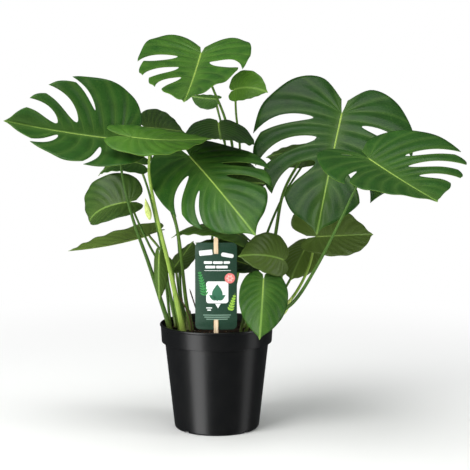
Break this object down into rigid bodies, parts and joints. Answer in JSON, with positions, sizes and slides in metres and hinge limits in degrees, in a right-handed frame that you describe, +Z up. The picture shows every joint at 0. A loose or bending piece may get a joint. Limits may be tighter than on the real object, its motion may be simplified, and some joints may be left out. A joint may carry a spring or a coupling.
{
  "type": "potted monstera plant",
  "caption": "Split-leaf houseplant in a stepped round nursery pot, with soil, petioles, aerial roots and a plant tag on a wooden stick.",
  "frame": {"origin": "centre of the pot's base, on the surface the pot stands on", "axes": "+Z up along the pot's axis, -Y towards the viewer and the plant tag, +X to the viewer's right along the plant's widest spread"},
  "size_m": [0.702, 0.4056, 0.6421],
  "materials": {
    "pot_plastic": "satin black",
    "soil": "loose crumbly peat and bark",
    "leaf": "soft satin",
    "leaf_young": "satin",
    "leaf_deep": "soft satin",
    "petiole": "satin",
    "stem": "rough",
    "card": "printed, satin",
    "stick": "bare wood"
  },
  "bodies": {
    "root": {"pot": "pot_plastic", "soil": "soil", "tag_card": "card", "tag_stick": "stick", "leaf_left_wide": "leaf", "leaf_left_young": "leaf_young", "leaf_back_dark": "leaf_deep", "leaf_top": "leaf", "leaf_curled": "leaf_young", "leaf_under_top": "leaf", "leaf_dome": "leaf", "leaf_centre": "leaf", "leaf_right_wide": "leaf", "leaf_right_split": "leaf", "leaf_right_low": "leaf", "leaf_right_back": "leaf", "leaf_right_fold": "leaf_deep", "leaf_front_heart": "leaf", "leaf_left_pleat": "leaf", "leaf_left_low": "leaf", "leaf_left_furled": "leaf", "leaf_low_dark": "leaf_deep", "leaf_under_centre": "leaf_deep", "leaf_under_left": "leaf", "leaf_behind_tag": "leaf_deep", "leaf_behind_centre": "leaf_deep", "leaf_behind_right": "leaf", "petiole_left_wide": "petiole", "petiole_left_young": "petiole", "petiole_back_dark": "petiole", "petiole_top": "petiole", "petiole_curled": "petiole", "petiole_under_top": "petiole", "petiole_dome": "petiole", "petiole_centre": "petiole", "petiole_right_wide": "petiole", "petiole_right_split": "petiole", "petiole_right_low": "petiole", "petiole_right_back": "petiole", "petiole_right_fold": "petiole", "petiole_front_heart": "petiole", "petiole_left_pleat": "petiole", "petiole_left_low": "petiole", "petiole_left_furled": "petiole", "petiole_low_dark": "petiole", "petiole_under_centre": "petiole", "petiole_under_left": "petiole", "petiole_behind_tag": "petiole", "petiole_behind_centre": "petiole", "petiole_behind_right": "petiole", "stem_left": "stem", "stem_back": "stem", "stem_right": "stem", "aerial_root_left": "stem", "aerial_root_inner": "stem", "sheath_left": "petiole", "sheath_right": "petiole"}
  },
  "joints": []
}
